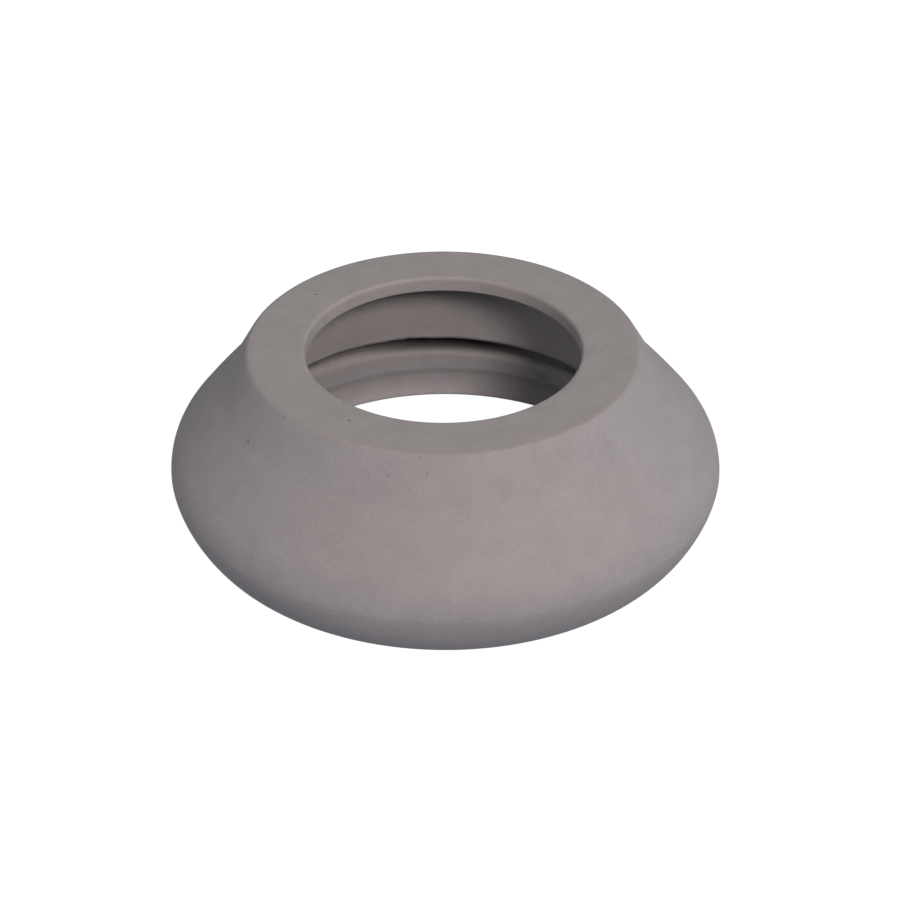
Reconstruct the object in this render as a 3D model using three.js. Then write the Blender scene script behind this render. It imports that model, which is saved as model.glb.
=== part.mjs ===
// Waste pipe sleeve: one rubber moulding, a solid of revolution about Z.
// Millimetres, +Z up, origin at the centre of the foot, where the part stands.
// The section is drawn once in (radius, height) and turned about the axis.

import * as THREE from 'three';

// Overall height, the pipe hole and the lip round it
const OVERALL_HEIGHT = 27.3;
const PIPE_HOLE_RADIUS = 19.75;
const PIPE_HOLE_EDGE_ROUND = 0.5;
const LIP_THICKNESS = 2.25;

// Neck: a drafted wall from the top ring's round edge down to a soft crease on the shoulder
const TOP_EDGE_ROUND = 0.9;
const NECK_DRAFT = THREE.MathUtils.degToRad(30);
const NECK_DEPTH = 6.3;
const NECK_CREASE = 0.6;

// Shoulder, belly and foot
const BELLY_RADIUS = 40.0;
const BELLY_HEIGHT = 8.15;
const BELLY_ROUND = 8.4;
const UNDERSIDE_DROP = 2.85;
const UNDERSIDE_REACH = 2.7;
const FOOT_LAND = 3.5;

// Socket wall inside the neck and shoulder, wider towards its sharp lower edge
const SOCKET_RADIUS = 28.1;
const SOCKET_DRAFT = 2.0;
const SOCKET_EDGE_HEIGHT = 11.9;
const SOCKET_CORNER_ROUND = 3.2;
const NECK_WALL = 2.0;

// Undercut slot behind the socket's edge, and the bead below it
const SLOT_HEIGHT = 3.3;
const SLOT_DEPTH = 5.0;
const BEAD_SETBACK = 2.2;
const BEAD_ROUND = 1.0;
const BEAD_LEAN = 0.6;

// Narrow groove below the bead, and the in-turned rim round the mouth
const GROOVE_DEPTH = 0.25;
const GROOVE_HEIGHT = 4.2;
const GROOVE_HALF_WIDTH = 0.45;
const RIM_HOLLOW = 0.35;
const RIM_OVERHANG = 0.5;
const RIM_EDGE_ROUND = 0.35;

// Fineness of the faceted solid: segments round the axis, and the length of a step along the section
const TURN_SEGMENTS = 96;
const STEP_LENGTH = 1.6;
const FEWEST_STEPS = 3;
const SAME_POINT = 1e-6;

const RUBBER_GREY = 0x9c9190;

const QUARTER = Math.PI / 2;

const topZ = OVERALL_HEIGHT;
const lipUndersideZ = topZ - LIP_THICKNESS;
const socketTopRadius = SOCKET_RADIUS - SOCKET_DRAFT;
const neckTopRadius = socketTopRadius + NECK_WALL;
const neckFoot = new THREE.Vector2(neckTopRadius + NECK_DEPTH * Math.tan(NECK_DRAFT), topZ - NECK_DEPTH);
const beadRadius = SOCKET_RADIUS + BEAD_SETBACK;
const beadFootRadius = beadRadius + BEAD_LEAN;
const mouthRadius = beadFootRadius - RIM_OVERHANG;

// Outside of the section, from the foot up to the edge of the pipe hole
function addOutside(section) {
  const landStart = mouthRadius + RIM_EDGE_ROUND;
  const landEnd = landStart + FOOT_LAND;
  section.moveTo(landStart, 0);
  section.lineTo(landEnd, 0);
  section.bezierCurveTo(
    landEnd + UNDERSIDE_REACH, 0,
    BELLY_RADIUS, BELLY_HEIGHT - UNDERSIDE_DROP,
    BELLY_RADIUS, BELLY_HEIGHT,
  );
  const bellyCentre = new THREE.Vector2(BELLY_RADIUS - BELLY_ROUND, BELLY_HEIGHT);
  const shoulder = shoulderAngle(bellyCentre);
  section.absarc(bellyCentre.x, bellyCentre.y, BELLY_ROUND, 0, shoulder, false);
  addCrease(section, shoulder);
}

// Angle on the belly's arc where the straight shoulder leaves it as a tangent to the neck's foot
function shoulderAngle(bellyCentre) {
  const toNeck = neckFoot.clone().sub(bellyCentre);
  return toNeck.angle() - Math.acos(BELLY_ROUND / toNeck.length());
}

// Soft crease where the shoulder, leaving the belly's arc at an angle, meets the neck
function addCrease(section, shoulder) {
  const downShoulder = new THREE.Vector2(Math.sin(shoulder), -Math.cos(shoulder));
  const upNeck = new THREE.Vector2(-Math.sin(NECK_DRAFT), Math.cos(NECK_DRAFT));
  const start = neckFoot.clone().addScaledVector(downShoulder, NECK_CREASE);
  const end = neckFoot.clone().addScaledVector(upNeck, NECK_CREASE);
  section.lineTo(start.x, start.y);
  section.quadraticCurveTo(neckFoot.x, neckFoot.y, end.x, end.y);
}

// Flat top ring with both its edges rounded, and the hole's short wall
function addTopRing(section) {
  const tangentLength = TOP_EDGE_ROUND * Math.tan((QUARTER - NECK_DRAFT) / 2);
  section.absarc(
    neckTopRadius - tangentLength, topZ - TOP_EDGE_ROUND, TOP_EDGE_ROUND, NECK_DRAFT, QUARTER, false,
  );
  section.absarc(
    PIPE_HOLE_RADIUS + PIPE_HOLE_EDGE_ROUND, topZ - PIPE_HOLE_EDGE_ROUND, PIPE_HOLE_EDGE_ROUND,
    QUARTER, 2 * QUARTER, false,
  );
  section.lineTo(PIPE_HOLE_RADIUS, lipUndersideZ);
}

// Underside of the lip, the rounded inner corner and the drafted socket wall
function addSocket(section) {
  section.lineTo(socketTopRadius - SOCKET_CORNER_ROUND, lipUndersideZ);
  section.quadraticCurveTo(
    socketTopRadius, lipUndersideZ,
    socketTopRadius, lipUndersideZ - SOCKET_CORNER_ROUND,
  );
  section.lineTo(SOCKET_RADIUS, SOCKET_EDGE_HEIGHT);
}

// Slot with a round end, cut outwards behind the socket's lower edge
function addSlot(section) {
  const slotRound = SLOT_HEIGHT / 2;
  section.absarc(
    SOCKET_RADIUS + SLOT_DEPTH - slotRound, SOCKET_EDGE_HEIGHT - slotRound, slotRound,
    QUARTER, -QUARTER, true,
  );
}

// Bead: round top shoulder, then a face leaning out as it goes down to the narrow groove
function addBead(section) {
  const shoulder = new THREE.Vector2(beadRadius + BEAD_ROUND, SOCKET_EDGE_HEIGHT - SLOT_HEIGHT - BEAD_ROUND);
  section.absarc(shoulder.x, shoulder.y, BEAD_ROUND, QUARTER, 2 * QUARTER, false);
  section.lineTo(beadFootRadius, GROOVE_HEIGHT + GROOVE_HALF_WIDTH);
  section.quadraticCurveTo(
    beadFootRadius + 2 * GROOVE_DEPTH, GROOVE_HEIGHT,
    beadFootRadius, GROOVE_HEIGHT - GROOVE_HALF_WIDTH,
  );
}

// Rim: a hollow band that comes in to the round edge of the mouth
function addRim(section) {
  section.quadraticCurveTo(beadFootRadius + RIM_HOLLOW, GROOVE_HEIGHT / 3, mouthRadius, RIM_EDGE_ROUND);
  section.quadraticCurveTo(mouthRadius, 0, mouthRadius + RIM_EDGE_ROUND, 0);
}

// Points of the closed section: each curve gives its own steps, and repeated points are left out
function sectionPoints() {
  const section = new THREE.Path();
  addOutside(section);
  addTopRing(section);
  addSocket(section);
  addSlot(section);
  addBead(section);
  addRim(section);
  const points = [];
  for (const curve of section.curves) {
    for (const point of curve.getPoints(stepsFor(curve))) {
      const last = points[points.length - 1];
      if (!last || last.distanceTo(point) > SAME_POINT) points.push(point);
    }
  }
  points[points.length - 1] = points[0].clone();
  return points;
}

function stepsFor(curve) {
  if (curve.isLineCurve) return 1;
  return Math.max(FEWEST_STEPS, Math.ceil(curve.getLength() / STEP_LENGTH));
}

function makeSleeve() {
  const geometry = new THREE.LatheGeometry(sectionPoints(), TURN_SEGMENTS);
  geometry.rotateX(QUARTER);
  const rubber = new THREE.MeshStandardMaterial({
    color: RUBBER_GREY,
    roughness: 0.8,
    metalness: 0,
  });
  const sleeve = new THREE.Mesh(geometry, rubber);
  sleeve.name = 'sleeve';
  return sleeve;
}

const wastePipeSleeve = new THREE.Group();
wastePipeSleeve.name = 'waste_pipe_sleeve';
wastePipeSleeve.add(makeSleeve());

export default wastePipeSleeve;
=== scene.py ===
"""Waste pipe sleeve: the looks of one rubber moulding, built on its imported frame."""

import math

import bpy
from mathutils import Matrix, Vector, noise


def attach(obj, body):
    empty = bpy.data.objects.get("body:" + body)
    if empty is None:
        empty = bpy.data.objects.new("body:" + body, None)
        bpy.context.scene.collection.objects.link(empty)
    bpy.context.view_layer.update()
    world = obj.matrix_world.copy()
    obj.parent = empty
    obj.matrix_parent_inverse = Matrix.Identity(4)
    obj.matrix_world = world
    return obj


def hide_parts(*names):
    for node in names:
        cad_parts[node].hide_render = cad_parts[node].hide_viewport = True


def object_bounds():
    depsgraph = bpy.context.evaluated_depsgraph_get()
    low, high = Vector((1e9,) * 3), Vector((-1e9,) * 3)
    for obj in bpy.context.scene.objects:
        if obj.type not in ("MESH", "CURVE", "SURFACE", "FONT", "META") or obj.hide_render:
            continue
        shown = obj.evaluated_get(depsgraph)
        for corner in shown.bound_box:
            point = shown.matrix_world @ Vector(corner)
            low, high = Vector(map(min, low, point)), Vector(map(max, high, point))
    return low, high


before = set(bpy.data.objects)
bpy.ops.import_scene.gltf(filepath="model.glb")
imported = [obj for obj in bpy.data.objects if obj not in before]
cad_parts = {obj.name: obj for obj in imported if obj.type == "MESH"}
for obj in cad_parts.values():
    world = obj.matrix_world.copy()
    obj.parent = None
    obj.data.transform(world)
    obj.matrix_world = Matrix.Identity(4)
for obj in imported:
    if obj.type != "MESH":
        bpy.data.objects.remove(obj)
cad_low, cad_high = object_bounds()

MM = 0.001
QUARTER_TURN = math.pi / 2
HALF_TURN = math.pi
FULL_TURN = 2 * math.pi

# Size of the whole, from the frame. All lengths are in millimetres, down to the list of marks.
HEIGHT = (cad_high.z - cad_low.z) / MM
BELLY_RADIUS = (cad_high.x - cad_low.x) / 2 / MM

# Pipe hole, the lip round it, and the socket's wall
HOLE_RADIUS = 19.75
HOLE_EDGE_ROUND = 0.5
HOLE_LOWER_ROUND = 0.12
LIP_THICKNESS = 2.25
LIP_UNDERSIDE = HEIGHT - LIP_THICKNESS
SOCKET_RADIUS = 28.1
SOCKET_DRAFT = 2.0
SOCKET_TOP_RADIUS = SOCKET_RADIUS - SOCKET_DRAFT
SOCKET_EDGE_HEIGHT = 11.9
SOCKET_CORNER_ROUND = 3.2

# Neck, shoulder and belly
NECK_WALL = 2.0
NECK_TOP_RADIUS = SOCKET_TOP_RADIUS + NECK_WALL
NECK_DRAFT = math.radians(30)
NECK_DEPTH = 6.3
NECK_CREASE = 0.5
TOP_EDGE_ROUND = 0.9
SHOULDER_BULGE = 0.22
BELLY_HEIGHT = 8.15
BELLY_ROUND = 8.4

# Slot behind the socket's edge, the bead below it, the narrow groove, and the rim round the mouth
SLOT_HEIGHT = 3.3
SLOT_DEPTH = 5.0
BEAD_SETBACK = 2.2
BEAD_ROUND = 1.0
BEAD_LEAN = 0.6
BEAD_TOP = SOCKET_EDGE_HEIGHT - SLOT_HEIGHT
BEAD_RADIUS = SOCKET_RADIUS + BEAD_SETBACK
BEAD_FOOT_RADIUS = BEAD_RADIUS + BEAD_LEAN
GROOVE_DEPTH = 0.1
GROOVE_HEIGHT = 3.9
GROOVE_HALF_WIDTH = 0.6
RIM_HOLLOW = 0.35
RIM_OVERHANG = 0.5
RIM_EDGE_ROUND = 0.35
MOUTH_RADIUS = BEAD_FOOT_RADIUS - RIM_OVERHANG

# Foot, and the underside between it and the belly
FOOT_LAND = 3.5
FOOT_INNER = MOUTH_RADIUS + RIM_EDGE_ROUND
FOOT_OUTER = FOOT_INNER + FOOT_LAND
UNDERSIDE_DROP = 2.85
UNDERSIDE_REACH = 2.7
UNDERSIDE_TUCK = 0.3

# Fineness of the mesh
TURN_SEGMENTS = 400
STEP_LENGTH = 0.55
FEWEST_STEPS = 5

# Small faults of the moulding: it leans to the left above the belly, and its surface waves
LEAN = 0.31
WOBBLE = 0.02
WOBBLE_SIZE = 14.0
FLAT_TOLERANCE = 1e-6

# Thin flash on the socket's edge. Each wave has its spread in the noise, its layer and its weight.
FLASH_REACH = 0.12
FLASH_ZONE = 0.5
FLASH_EVEN_SHARE = 0.5
FLASH_WAVES = ((9, 2.0, 1.0), (34, 5.0, 0.6))

# A small nick in the socket's edge
NICK_ANGLE = math.radians(101.3)
NICK_WIDTH = math.radians(0.9)
NICK_DEPTH = 0.25

# Inner rings: the radius that parts them from the outside, and their tilt as (height, rise per mm left)
INSIDE_LIMIT = 34.0
TILTS = ((3.5, 0.0), (BEAD_TOP, 0.035), (SOCKET_EDGE_HEIGHT, 0.025), (14.5, 0.0))


def line(start, end):
    """Points from start to end, both (radius, height), without the first."""
    steps = max(1, math.ceil(math.dist(start, end) / STEP_LENGTH))
    return [
        tuple(a + (b - a) * i / steps for a, b in zip(start, end))
        for i in range(1, steps + 1)
    ]


def arc(centre, radius, start, end):
    """Points on an arc between two angles, with the first."""
    steps = max(FEWEST_STEPS, math.ceil(abs(end - start) * radius / STEP_LENGTH))
    angles = [start + (end - start) * i / steps for i in range(steps + 1)]
    return [(centre[0] + radius * math.cos(a), centre[1] + radius * math.sin(a)) for a in angles]


def bezier(*control):
    """Points on a Bezier curve of any degree, without the first."""
    span = sum(math.dist(a, b) for a, b in zip(control, control[1:]))
    steps = max(FEWEST_STEPS, math.ceil(span / STEP_LENGTH))
    degree = len(control) - 1
    points = []
    for i in range(1, steps + 1):
        t = i / steps
        weights = [math.comb(degree, k) * t**k * (1 - t) ** (degree - k) for k in range(degree + 1)]
        points.append(tuple(sum(w * p[axis] for w, p in zip(weights, control)) for axis in (0, 1)))
    return points


def underside_and_belly(tangent):
    """The flat foot, the underside, and the belly's arc up to the angle where the shoulder leaves it."""
    foot_end = (FOOT_OUTER, 0)
    points = line((FOOT_INNER, 0), foot_end)
    points += bezier(
        foot_end,
        (FOOT_OUTER + UNDERSIDE_REACH, 0),
        (BELLY_RADIUS - UNDERSIDE_TUCK, BELLY_HEIGHT - UNDERSIDE_DROP),
        (BELLY_RADIUS, BELLY_HEIGHT),
    )
    return points + arc((BELLY_RADIUS - BELLY_ROUND, BELLY_HEIGHT), BELLY_ROUND, 0, tangent)[1:]


def outside():
    """From the inner edge of the foot round the belly and up the shoulder to the neck."""
    neck_foot = (NECK_TOP_RADIUS + NECK_DEPTH * math.tan(NECK_DRAFT), HEIGHT - NECK_DEPTH)
    to_neck = (neck_foot[0] - (BELLY_RADIUS - BELLY_ROUND), neck_foot[1] - BELLY_HEIGHT)
    tangent = math.atan2(to_neck[1], to_neck[0]) - math.acos(BELLY_ROUND / math.hypot(*to_neck))
    crease_start = (
        neck_foot[0] + NECK_CREASE * math.sin(tangent),
        neck_foot[1] - NECK_CREASE * math.cos(tangent),
    )
    crease_end = (
        neck_foot[0] - NECK_CREASE * math.sin(NECK_DRAFT),
        neck_foot[1] + NECK_CREASE * math.cos(NECK_DRAFT),
    )
    points = underside_and_belly(tangent)
    middle = tuple((a + b) / 2 for a, b in zip(points[-1], crease_start))
    bulge = (middle[0] + SHOULDER_BULGE * math.cos(tangent), middle[1] + SHOULDER_BULGE * math.sin(tangent))
    points += bezier(points[-1], bulge, crease_start)
    points += bezier(crease_start, neck_foot, crease_end)
    return points


def top_ring(start):
    """The neck's wall, the round outer edge, the flat ring, and the hole's edge and wall."""
    tangent_length = TOP_EDGE_ROUND * math.tan((QUARTER_TURN - NECK_DRAFT) / 2)
    outer_edge = (NECK_TOP_RADIUS - tangent_length, HEIGHT - TOP_EDGE_ROUND)
    edge = arc(outer_edge, TOP_EDGE_ROUND, NECK_DRAFT, QUARTER_TURN)
    points = line(start, edge[0]) + edge[1:]
    hole_edge = (HOLE_RADIUS + HOLE_EDGE_ROUND, HEIGHT - HOLE_EDGE_ROUND)
    points += line(points[-1], (hole_edge[0], HEIGHT))
    points += arc(hole_edge, HOLE_EDGE_ROUND, QUARTER_TURN, HALF_TURN)[1:]
    lower_edge = (HOLE_RADIUS + HOLE_LOWER_ROUND, LIP_UNDERSIDE + HOLE_LOWER_ROUND)
    points += line(points[-1], (HOLE_RADIUS, lower_edge[1]))
    points += arc(lower_edge, HOLE_LOWER_ROUND, HALF_TURN, HALF_TURN + QUARTER_TURN)[1:]
    return points


def socket(start):
    """Underside of the lip, the inner corner and the drafted wall down to its sharp edge."""
    corner_start = (SOCKET_TOP_RADIUS - SOCKET_CORNER_ROUND, LIP_UNDERSIDE)
    corner_end = (SOCKET_TOP_RADIUS, LIP_UNDERSIDE - SOCKET_CORNER_ROUND)
    points = line(start, corner_start)
    points += bezier(corner_start, (SOCKET_TOP_RADIUS, LIP_UNDERSIDE), corner_end)
    points += line(corner_end, (SOCKET_RADIUS, SOCKET_EDGE_HEIGHT))
    return points


def slot():
    """Undercut slot with a round end, behind the socket's lower edge."""
    slot_round = SLOT_HEIGHT / 2
    centre = (SOCKET_RADIUS + SLOT_DEPTH - slot_round, SOCKET_EDGE_HEIGHT - slot_round)
    points = line((SOCKET_RADIUS, SOCKET_EDGE_HEIGHT), (centre[0], SOCKET_EDGE_HEIGHT))
    points += arc(centre, slot_round, QUARTER_TURN, -QUARTER_TURN)[1:]
    points += line(points[-1], (BEAD_RADIUS + BEAD_ROUND, BEAD_TOP))
    return points


def bead_and_rim():
    """The bead's round shoulder and leaning face, the narrow groove, and the hollow rim band."""
    shoulder = (BEAD_RADIUS + BEAD_ROUND, BEAD_TOP - BEAD_ROUND)
    groove_top = (BEAD_FOOT_RADIUS, GROOVE_HEIGHT + GROOVE_HALF_WIDTH)
    groove_foot = (BEAD_FOOT_RADIUS, GROOVE_HEIGHT - GROOVE_HALF_WIDTH)
    mouth = (MOUTH_RADIUS, RIM_EDGE_ROUND)
    points = arc(shoulder, BEAD_ROUND, QUARTER_TURN, HALF_TURN)[1:]
    points += line(points[-1], groove_top)
    points += bezier(groove_top, (BEAD_FOOT_RADIUS + 2 * GROOVE_DEPTH, GROOVE_HEIGHT), groove_foot)
    points += bezier(groove_foot, (BEAD_FOOT_RADIUS + RIM_HOLLOW, GROOVE_HEIGHT / 3), mouth)
    points += bezier(mouth, (MOUTH_RADIUS, 0), (FOOT_INNER, 0))
    return points


def section():
    """The whole closed section, in order: up the outside and down the inside."""
    points = outside()
    points += top_ring(points[-1])
    points += socket(points[-1])
    points += slot() + bead_and_rim()
    return points


def edge_flash(radius, height, angle):
    """How far thin, ragged flash stands in from the socket's lower edge, less the nick in it."""
    off_edge = math.hypot(radius - SOCKET_RADIUS, height - SOCKET_EDGE_HEIGHT)
    share = max(0.0, 1 - off_edge / FLASH_ZONE)
    ragged = sum(
        weight * noise.noise((math.cos(angle) * spread, math.sin(angle) * spread, layer))
        for spread, layer, weight in FLASH_WAVES
    )
    nick = NICK_DEPTH * math.exp(-(((angle - NICK_ANGLE) / NICK_WIDTH) ** 2))
    return share**2 * (FLASH_REACH * (FLASH_EVEN_SHARE + ragged) - nick)


def ring_tilt(radius, height, across):
    """How far the bead, the slot and the socket's edge rise, at a distance across to the right."""
    if radius > INSIDE_LIMIT:
        return 0.0
    for (low, low_tilt), (high, high_tilt) in zip(TILTS, TILTS[1:]):
        if low <= height < high:
            share = (height - low) / (high - low)
            return -across * (low_tilt + (high_tilt - low_tilt) * share)
    return 0.0


def place(radius, height, angle):
    """One point of the moulding in metres, with its small faults."""
    outwards = Vector((math.cos(angle), math.sin(angle), 0))
    spot = outwards * radius + Vector((0, 0, height))
    uneven = WOBBLE * noise.noise(spot / WOBBLE_SIZE)
    lean = LEAN * max(0.0, (height - BELLY_HEIGHT) / (HEIGHT - BELLY_HEIGHT))
    on_flat = height < FLAT_TOLERANCE or height > HEIGHT - FLAT_TOLERANCE
    lift = 0.0 if on_flat else uneven + ring_tilt(radius, height, spot.x)
    radius += uneven - WOBBLE - edge_flash(radius, height, angle)
    return (outwards * radius + Vector((-lean, 0, height + lift))) * MM


def revolve(name, points):
    """A closed mesh made by turning the section round Z."""
    count = len(points)
    vertices = []
    for i in range(TURN_SEGMENTS):
        angle = FULL_TURN * i / TURN_SEGMENTS
        vertices += [place(radius, height, angle) for radius, height in points]
    faces = []
    for i in range(TURN_SEGMENTS):
        here = i * count
        there = (i + 1) % TURN_SEGMENTS * count
        for j in range(count):
            k = (j + 1) % count
            faces.append((here + j, there + j, there + k, here + k))
    mesh = bpy.data.meshes.new(name)
    mesh.from_pydata(vertices, [], faces)
    mesh.polygons.foreach_set("use_smooth", [True] * len(faces))
    mesh.update()
    piece = bpy.data.objects.new(name, mesh)
    bpy.context.scene.collection.objects.link(piece)
    return piece


WHITE = (1, 1, 1, 1)


def new_material(name):
    """A new node material, its node tree and its Principled shader."""
    material = bpy.data.materials.new(name)
    material.use_nodes = True
    return material, material.node_tree, material.node_tree.nodes["Principled BSDF"]


def add_node(tree, kind, inputs=(), **settings):
    """A node with its settings, and with inputs given as values or as sockets to link."""
    node = tree.nodes.new(kind)
    for key, value in settings.items():
        setattr(node, key, value)
    for key, value in dict(inputs).items():
        if isinstance(value, bpy.types.NodeSocket):
            tree.links.new(value, node.inputs[key])
        else:
            node.inputs[key].default_value = value
    return node


def number(tree, operation, *values):
    """The result of a sum on one or two numbers or sockets."""
    return add_node(tree, "ShaderNodeMath", enumerate(values), operation=operation).outputs["Value"]


def vector_number(tree, operation, *values):
    """The number that comes from one or two vectors."""
    return add_node(tree, "ShaderNodeVectorMath", enumerate(values), operation=operation).outputs["Value"]


def fade(tree, value, start, end, low, high):
    """A smooth step from low to high as the value goes from start to end."""
    node = add_node(
        tree,
        "ShaderNodeMapRange",
        {"Value": value, "From Min": start, "From Max": end, "To Min": low, "To Max": high},
        interpolation_type="SMOOTHSTEP",
    )
    return node.outputs["Result"]


def mix_shaders(tree, share, first, second):
    """Two shaders mixed, with this share of the second."""
    return add_node(tree, "ShaderNodeMixShader", {0: share, 1: first, 2: second}).outputs["Shader"]


def is_ray(tree, *kinds):
    """1 for a ray of any of these kinds, and 0 for the rest, which light the object."""
    path = add_node(tree, "ShaderNodeLightPath").outputs
    answer = path[kinds[0]]
    for kind in kinds[1:]:
        answer = number(tree, "MAXIMUM", answer, path[kind])
    return answer


# Rubber: its two tones, how the mottle runs between them, its roughness, and its grain
RUBBER_DARK = (0.314, 0.28, 0.272, 1)
RUBBER_LIGHT = (0.38, 0.342, 0.33, 1)
MOTTLE_DARK = 0.3
MOTTLE_LIGHT = 0.7
GRAIN_SHARE = 0.55
SMOOTHEST = 0.66
ROUGHEST = 0.86
RUBBER_SPECULAR = 0.28
GRAIN_STRENGTH = 0.35
GRAIN_HEIGHT = 0.05

# Noise textures: how many of their features go into a metre, and their detail
CLOUDS = {"Scale": 260.0, "Detail": 3.0}
GRAIN = {"Scale": 2600.0, "Detail": 2.0}

# Painted shade in the slot, darkening the recess behind the socket's edge in the colour: heights where it
# is full and where it ends, how it thins to the sides, and its tilt
SLOT_SHADE_STRENGTH = 0.77
SLOT_SHADE_FULL = 8.85
SLOT_SHADE_END = 7.6
SLOT_SHADE_MIDDLE = 4.0
SLOT_SHADE_SIDE = 15.0
SLOT_SHADE_SIDE_SHARE = 0.3
SLOT_SHADE_TILT = 0.03
SLOT_START = SOCKET_RADIUS + 0.05
SLOT_CEILING = SOCKET_EDGE_HEIGHT + 0.1

# Painted shade in the groove's crease, and a thin painted shade line along the parting line round the belly
# that stands in for its small ridge
GROOVE_SHADE = 0.3
GROOVE_SHADE_REACH = 1.3
PARTING_SHADE = 0.12
PARTING_REACH = 0.14

# Marks: place (x, y, z), size, and how much darker; the core is the share of the size that is darkest
MARK_CORE = 0.2
MARKS = (
    ((-19.1, 14.8, 27.3), 0.32, 0.55),
    ((-13.1, -19.5, 27.3), 0.34, 0.55),
    ((-27.3, -15.9, 21.5), 0.36, 0.55),
    ((-7.7, -28.7, 24.5), 0.3, 0.25),
    ((-2.4, -29.3, 25.1), 0.3, 0.25),
    ((-22.0, -18.1, 27.0), 0.3, 0.3),
    ((-3.3, -28.1, 26.9), 0.3, 0.25),
    ((23.1, 0.3, 27.3), 0.3, 0.25),
    ((8.3, -29.7, 22.4), 1.6, 0.05),
    ((13.9, -32.6, 16.6), 2.0, 0.05),
    ((15.0, 26.8, 5.7), 1.4, 0.25),
)


def mark_shades(tree, where):
    """Brightness factors of the small specks and smudges."""
    shades = []
    for spot, size, darker in MARKS:
        centre = tuple(length * MM for length in spot)
        away = vector_number(tree, "DISTANCE", where, centre)
        shades.append(fade(tree, away, MARK_CORE * size * MM, size * MM, 1 - darker, 1.0))
    return shades


def slot_painted_shade(tree, across, radius, height):
    """How much painted shade darkens the slot's recess: most near its middle, less to the sides and down
    the bead.
    """
    behind = number(tree, "GREATER_THAN", radius, SLOT_START * MM)
    below = number(tree, "LESS_THAN", height, SLOT_CEILING * MM)
    level = number(tree, "ADD", height, number(tree, "MULTIPLY", across, SLOT_SHADE_TILT))
    # Painted shade: the recess's shadow is darkened into the colour, fading down the bead.
    recess_shade = fade(tree, level, SLOT_SHADE_END * MM, SLOT_SHADE_FULL * MM, 0.0, SLOT_SHADE_STRENGTH)
    off_middle = number(tree, "ABSOLUTE", across)
    patch = fade(tree, off_middle, SLOT_SHADE_MIDDLE * MM, SLOT_SHADE_SIDE * MM, 1.0, SLOT_SHADE_SIDE_SHARE)
    in_slot = number(tree, "MULTIPLY", behind, below)
    return number(tree, "MULTIPLY", number(tree, "MULTIPLY", recess_shade, patch), in_slot)


def band(tree, height, middle, reach, strength):
    """How much a soft band round the object darkens it, by the distance from its middle height."""
    off_middle = number(tree, "ABSOLUTE", number(tree, "SUBTRACT", height, middle * MM))
    return fade(tree, off_middle, 0.0, reach * MM, strength, 0.0)


def painted_shade_factors(tree, where):
    """Brightness factors of the painted shade in the slot's recess and the groove's crease, and along the
    parting line.
    """
    parts = add_node(tree, "ShaderNodeSeparateXYZ", {"Vector": where}).outputs
    flat = add_node(tree, "ShaderNodeCombineXYZ", {"X": parts["X"], "Y": parts["Y"]}).outputs["Vector"]
    radius = vector_number(tree, "LENGTH", flat)
    height = parts["Z"]
    inner = number(tree, "LESS_THAN", radius, INSIDE_LIMIT * MM)
    outer = number(tree, "SUBTRACT", 1.0, inner)
    # Painted shade: the slot's recess, the groove's crease, and a thin line along the parting line.
    layers = (
        (slot_painted_shade(tree, parts["X"], radius, height), inner),
        (band(tree, height, GROOVE_HEIGHT, GROOVE_SHADE_REACH, GROOVE_SHADE), inner),
        (band(tree, height, BELLY_HEIGHT, PARTING_REACH, PARTING_SHADE), outer),
    )
    return [
        number(tree, "SUBTRACT", 1.0, number(tree, "MULTIPLY", strength, side))
        for strength, side in layers
    ]


def rubber_tone(tree, mottle):
    """The rubber's grey, between its dark and its light tone."""
    tone = add_node(tree, "ShaderNodeValToRGB", {"Fac": mottle})
    dark, light = tone.color_ramp.elements
    dark.position = MOTTLE_DARK
    dark.color = RUBBER_DARK
    light.position = MOTTLE_LIGHT
    light.color = RUBBER_LIGHT
    return tone.outputs["Color"]


def rubber_material():
    """Matte moulded rubber: warm grey, softly mottled, with a fine grain, a few specks, and painted shade
    in the slot, the groove and along the parting line.
    """
    material, tree, shader = new_material("moulded_rubber")
    where = add_node(tree, "ShaderNodeTexCoord").outputs["Object"]
    clouds = add_node(tree, "ShaderNodeTexNoise", {"Vector": where, **CLOUDS}).outputs["Fac"]
    grain = add_node(tree, "ShaderNodeTexNoise", {"Vector": where, **GRAIN}).outputs["Fac"]
    shares = {"Factor": GRAIN_SHARE, "A": clouds, "B": grain}
    mottle = add_node(tree, "ShaderNodeMix", shares, data_type="FLOAT").outputs["Result"]
    shade = 1.0
    # Specks and smudges are the rubber's own marks; the other factors are painted shade.
    for factor in mark_shades(tree, where) + painted_shade_factors(tree, where):
        shade = number(tree, "MULTIPLY", factor, shade)
    colour = add_node(
        tree, "ShaderNodeVectorMath", {0: rubber_tone(tree, mottle), "Scale": shade}, operation="SCALE"
    )
    tree.links.new(colour.outputs["Vector"], shader.inputs["Base Color"])
    rough = add_node(tree, "ShaderNodeMapRange", {"Value": mottle, "To Min": SMOOTHEST, "To Max": ROUGHEST})
    tree.links.new(rough.outputs["Result"], shader.inputs["Roughness"])
    bump = add_node(
        tree,
        "ShaderNodeBump",
        {"Strength": GRAIN_STRENGTH, "Distance": GRAIN_HEIGHT * MM, "Height": grain},
    )
    tree.links.new(bump.outputs["Normal"], shader.inputs["Normal"])
    shader.inputs["Specular IOR Level"].default_value = RUBBER_SPECULAR
    return material


# Floor: side in metres, the colour and roughness that light bounces off, and the share of plain white
FLOOR_SIDE = 3.0
FLOOR_COLOUR = (0.24, 0.3, 0.4, 1)
FLOOR_ROUGHNESS = 0.9
FLOOR_WHITE_SHARE = 0.8


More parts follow.
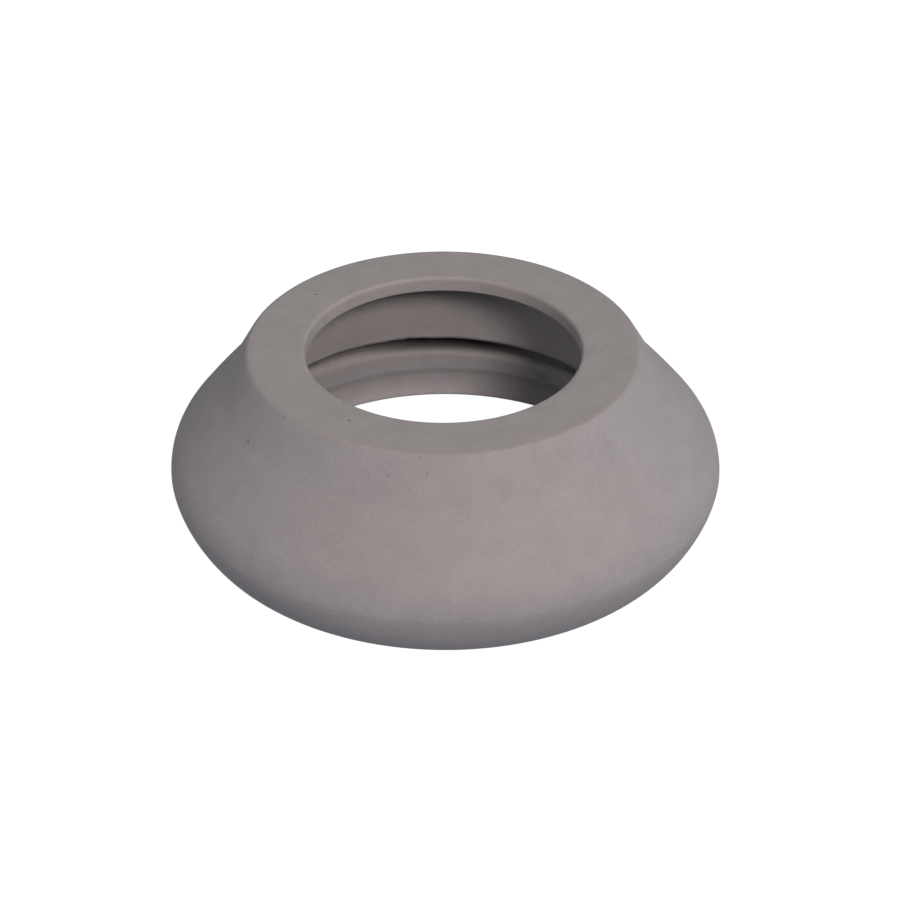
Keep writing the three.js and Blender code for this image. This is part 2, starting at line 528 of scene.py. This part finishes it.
def floor_material():
    """A floor that throws cool light back on the object, and that the camera sees as white."""
    material, tree, shader = new_material("white_floor")
    shader.inputs["Base Color"].default_value = FLOOR_COLOUR
    shader.inputs["Roughness"].default_value = FLOOR_ROUGHNESS
    shader.inputs["Specular IOR Level"].default_value = 0.0
    seen = is_ray(tree, "Is Camera Ray", "Is Glossy Ray", "Is Transmission Ray")
    share = number(tree, "MULTIPLY", seen, FLOOR_WHITE_SHARE)
    white = add_node(tree, "ShaderNodeEmission", {"Color": WHITE, "Strength": 1 / FLOOR_WHITE_SHARE})
    surface = mix_shaders(tree, share, shader.outputs["BSDF"], white.outputs["Emission"])
    tree.links.new(surface, tree.nodes["Material Output"].inputs["Surface"])
    return material


def add_floor():
    """A wide floor under the foot."""
    half = FLOOR_SIDE / 2
    corners = [(-half, -half, 0), (half, -half, 0), (half, half, 0), (-half, half, 0)]
    mesh = bpy.data.meshes.new("floor")
    mesh.from_pydata(corners, [], [(0, 1, 2, 3)])
    floor = bpy.data.objects.new("floor", mesh)
    floor.location.z = cad_low.z
    mesh.materials.append(floor_material())
    bpy.context.scene.collection.objects.link(floor)


# Camera, in metres and pixels, found from the photograph's edges. It looks at a point on the axis.
CAMERA_DISTANCE = 0.375
CAMERA_ELEVATION = math.radians(32.83)
LOOK_DEPTH = 0.013
CLIP_START = 0.01
PIXELS_PER_METRE = 6889.0
IMAGE_SIDE = 900
AXIS_PIXEL = (444.93, 422.53)
SENSOR = 36.0


def add_camera():
    """The camera at the photograph's place, with a small shift for its framing."""
    data = bpy.data.cameras.new("camera")
    data.sensor_width = SENSOR
    data.lens = SENSOR * PIXELS_PER_METRE * CAMERA_DISTANCE / IMAGE_SIDE
    middle_pixel = (IMAGE_SIDE - 1) / 2
    data.shift_x = (middle_pixel - AXIS_PIXEL[0]) / IMAGE_SIDE
    data.shift_y = (AXIS_PIXEL[1] - middle_pixel) / IMAGE_SIDE
    data.clip_start = CLIP_START
    camera = bpy.data.objects.new("camera", data)
    target = Vector((0, 0, cad_high.z - LOOK_DEPTH))
    back = Vector((0, -math.cos(CAMERA_ELEVATION), math.sin(CAMERA_ELEVATION)))
    camera.location = target + back * CAMERA_DISTANCE
    camera.rotation_euler = (QUARTER_TURN - CAMERA_ELEVATION, 0, 0)
    bpy.context.scene.collection.objects.link(camera)
    bpy.context.scene.camera = camera


# Lamps: name, degrees to the right of the camera, degrees up, distance and side (m), watts, colour
LAMPS = (
    ("key", 22, 38.5, 1.8, 0.44, 22.0, (1.0, 0.95, 0.945)),
    ("right", 95, 28, 0.9, 0.5, 2.15, (0.9, 0.95, 1.0)),
    ("front_left", -35, 38, 0.9, 0.6, 0.95, (0.92, 0.95, 1.0)),
    ("left", -62, 22, 0.9, 0.5, 0.78, (0.96, 0.96, 1.0)),
    ("left_back", -125, 30, 0.9, 0.5, 1.1, (0.85, 0.92, 1.0)),
    ("right_back", 125, 30, 0.9, 0.5, 1.3, (0.85, 0.93, 1.0)),
    ("top", 0, 88, 0.9, 0.5, 0.1, (1.0, 1.0, 1.0)),
)


def add_lamps():
    """Soft square lamps round the object, each aimed at it."""
    target = Vector((0, 0, (cad_low.z + cad_high.z) / 2))
    for name, azimuth, elevation, distance, side, power, colour in LAMPS:
        data = bpy.data.lights.new(name, "AREA")
        data.size = side
        data.energy = power
        data.color = colour
        lamp = bpy.data.objects.new(name, data)
        turn = math.radians(azimuth)
        rise = math.radians(elevation)
        level = math.cos(rise)
        away = Vector((math.sin(turn) * level, -math.cos(turn) * level, math.sin(rise)))
        lamp.location = target + away * distance
        lamp.rotation_euler = away.to_track_quat("Z", "Y").to_euler()
        bpy.context.scene.collection.objects.link(lamp)


WORLD_COLOUR = (0.95, 0.97, 1.0, 1)
WORLD_STRENGTH = 0.012


def set_world():
    """Dim, even surroundings that light the object, seen as white by the camera."""
    world = bpy.data.worlds.new("world")
    world.use_nodes = True
    tree = world.node_tree
    tree.nodes.clear()
    seen = is_ray(tree, "Is Camera Ray", "Is Transmission Ray")
    dim = add_node(tree, "ShaderNodeBackground", {"Color": WORLD_COLOUR, "Strength": WORLD_STRENGTH})
    white = add_node(tree, "ShaderNodeBackground", {"Color": WHITE, "Strength": 1.0})
    surface = mix_shaders(tree, seen, dim.outputs["Background"], white.outputs["Background"])
    output = add_node(tree, "ShaderNodeOutputWorld")
    tree.links.new(surface, output.inputs["Surface"])
    bpy.context.scene.world = world


add_camera()
add_floor()
set_world()
add_lamps()

sleeve = revolve("rubber_sleeve", section())
sleeve.data.materials.append(rubber_material())
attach(sleeve, "root")
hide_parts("sleeve")

bpy.context.scene.view_settings.view_transform = "Standard"
